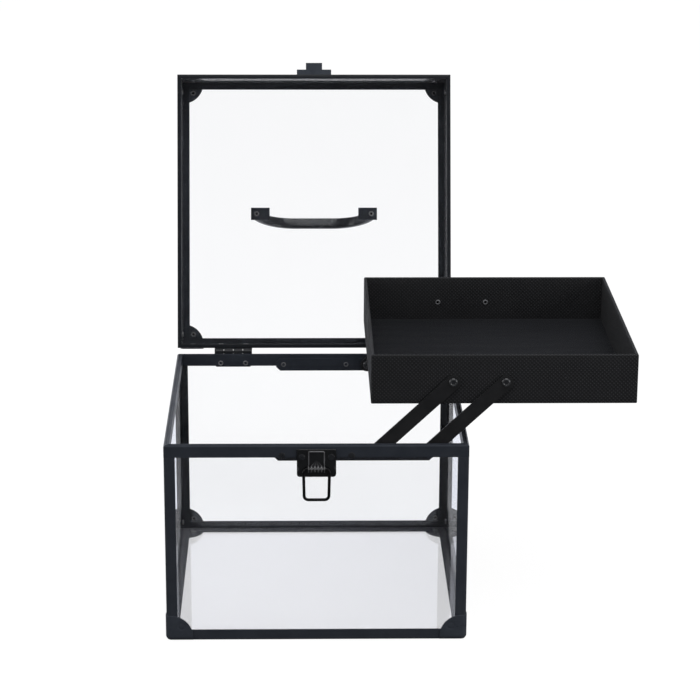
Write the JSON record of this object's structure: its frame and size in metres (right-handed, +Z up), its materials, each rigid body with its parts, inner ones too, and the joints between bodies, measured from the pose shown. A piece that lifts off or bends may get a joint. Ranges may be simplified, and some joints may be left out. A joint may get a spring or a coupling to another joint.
{
  "type": "makeup train case",
  "caption": "Clear acrylic makeup case in a black aluminium frame, with a hinged lid, wire latch, folding handle and a cloth-covered tray on swinging arms.",
  "frame": {"origin": "centre of the case's footprint, on the plane that the corner caps stand on", "axes": "+Z up, +X to the right as seen from the latch side, +Y from the latch to the hinges"},
  "size_m": [0.3879, 0.3787, 0.4253],
  "materials": {
    "clear_acrylic": "clear polished",
    "black_aluminium": "black anodised satin",
    "black_steel": "black gloss",
    "arm_steel": "black satin",
    "pin_steel": "blackened",
    "bail_wire": "black gloss",
    "grip_plastic": "black gloss",
    "tray_cloth": "black coated weave",
    "liner_cloth": "black lining cloth"
  },
  "bodies": {
    "case": {"arm_pins": "pin_steel", "arm_strip_front": "arm_steel", "arm_strip_rear": "arm_steel", "base_angle_front": "black_aluminium", "base_angle_left": "black_aluminium", "base_angle_rear": "black_aluminium", "base_angle_right": "black_aluminium", "corner_post_front_left": "black_aluminium", "corner_post_front_right": "black_aluminium", "corner_post_rear_left": "black_aluminium", "corner_post_rear_right": "black_aluminium", "floor_panel": "clear_acrylic", "foot_caps": "black_steel", "front_panel": "clear_acrylic", "hinge_leaf_case_left": "black_steel", "hinge_leaf_case_right": "black_steel", "hinge_pins": "pin_steel", "latch_plate": "black_steel", "left_panel": "clear_acrylic", "rear_panel": "clear_acrylic", "right_panel": "clear_acrylic", "rim_front": "black_aluminium", "rim_left": "black_aluminium", "rim_rear": "black_aluminium", "rim_right": "black_aluminium"},
    "lid": {"handle_bracket_left": "black_steel", "handle_bracket_right": "black_steel", "hinge_leaf_lid_left": "black_steel", "hinge_leaf_lid_right": "black_steel", "lid_angle_front": "black_aluminium", "lid_angle_left": "black_aluminium", "lid_angle_rear": "black_aluminium", "lid_angle_right": "black_aluminium", "lid_caps": "black_steel", "lid_panel_front": "clear_acrylic", "lid_panel_left": "clear_acrylic", "lid_panel_rear": "clear_acrylic", "lid_panel_right": "clear_acrylic", "lid_posts": "black_aluminium", "lid_rim_front": "black_aluminium", "lid_rim_left": "black_aluminium", "lid_rim_rear": "black_aluminium", "lid_rim_right": "black_aluminium", "lid_top_panel": "clear_acrylic", "strike": "black_steel"},
    "handle": {"handle_grip": "grip_plastic"},
    "bail": {"latch_bail": "bail_wire"},
    "inner_arms": {"inner_arm_front": "arm_steel", "inner_arm_rear": "arm_steel"},
    "outer_arms": {"outer_arm_front": "arm_steel", "outer_arm_rear": "arm_steel"},
    "tray": {"tray_liner": "liner_cloth", "tray_pins": "pin_steel", "tray_tub": "tray_cloth"}
  },
  "joints": [
    {"name": "lid_hinge", "type": "hinge", "parent": "case", "child": "lid", "pos_m": [0, 0.12875, 0.17345], "axis": [1, 0, 0], "range_deg": [0, 23]},
    {"name": "handle_swing", "type": "hinge", "parent": "lid", "child": "handle", "pos_m": [0, 0.21482, 0.28122], "axis": [1, 0, 0], "range_deg": [-75.5, 104.5]},
    {"name": "bail_swing", "type": "hinge", "parent": "case", "child": "bail", "pos_m": [0, -0.12785, 0.1537], "axis": [-1, 0, 0], "range_deg": [-3, 175]},
    {"name": "tray_fold", "type": "hinge", "parent": "case", "child": "inner_arms", "pos_m": [0.0477, 0, 0.1644], "axis": [0, -1, 0], "range_deg": [-13.5, 119.5]},
    {"name": "outer_arm_turn", "type": "hinge", "parent": "case", "child": "outer_arms", "pos_m": [0.0907, 0, 0.1644], "axis": [0, -1, 0], "range_deg": [-13.5, 119.5]},
    {"name": "tray_level", "type": "hinge", "parent": "inner_arms", "child": "tray", "pos_m": [0.11131, 0, 0.22477], "axis": [0, -1, 0], "range_deg": [-119.5, 13.5]}
  ],
  "couplings": [
    {"joint": "outer_arm_turn", "follows": "tray_fold", "ratio": 1},
    {"joint": "tray_level", "follows": "tray_fold", "ratio": -1}
  ]
}
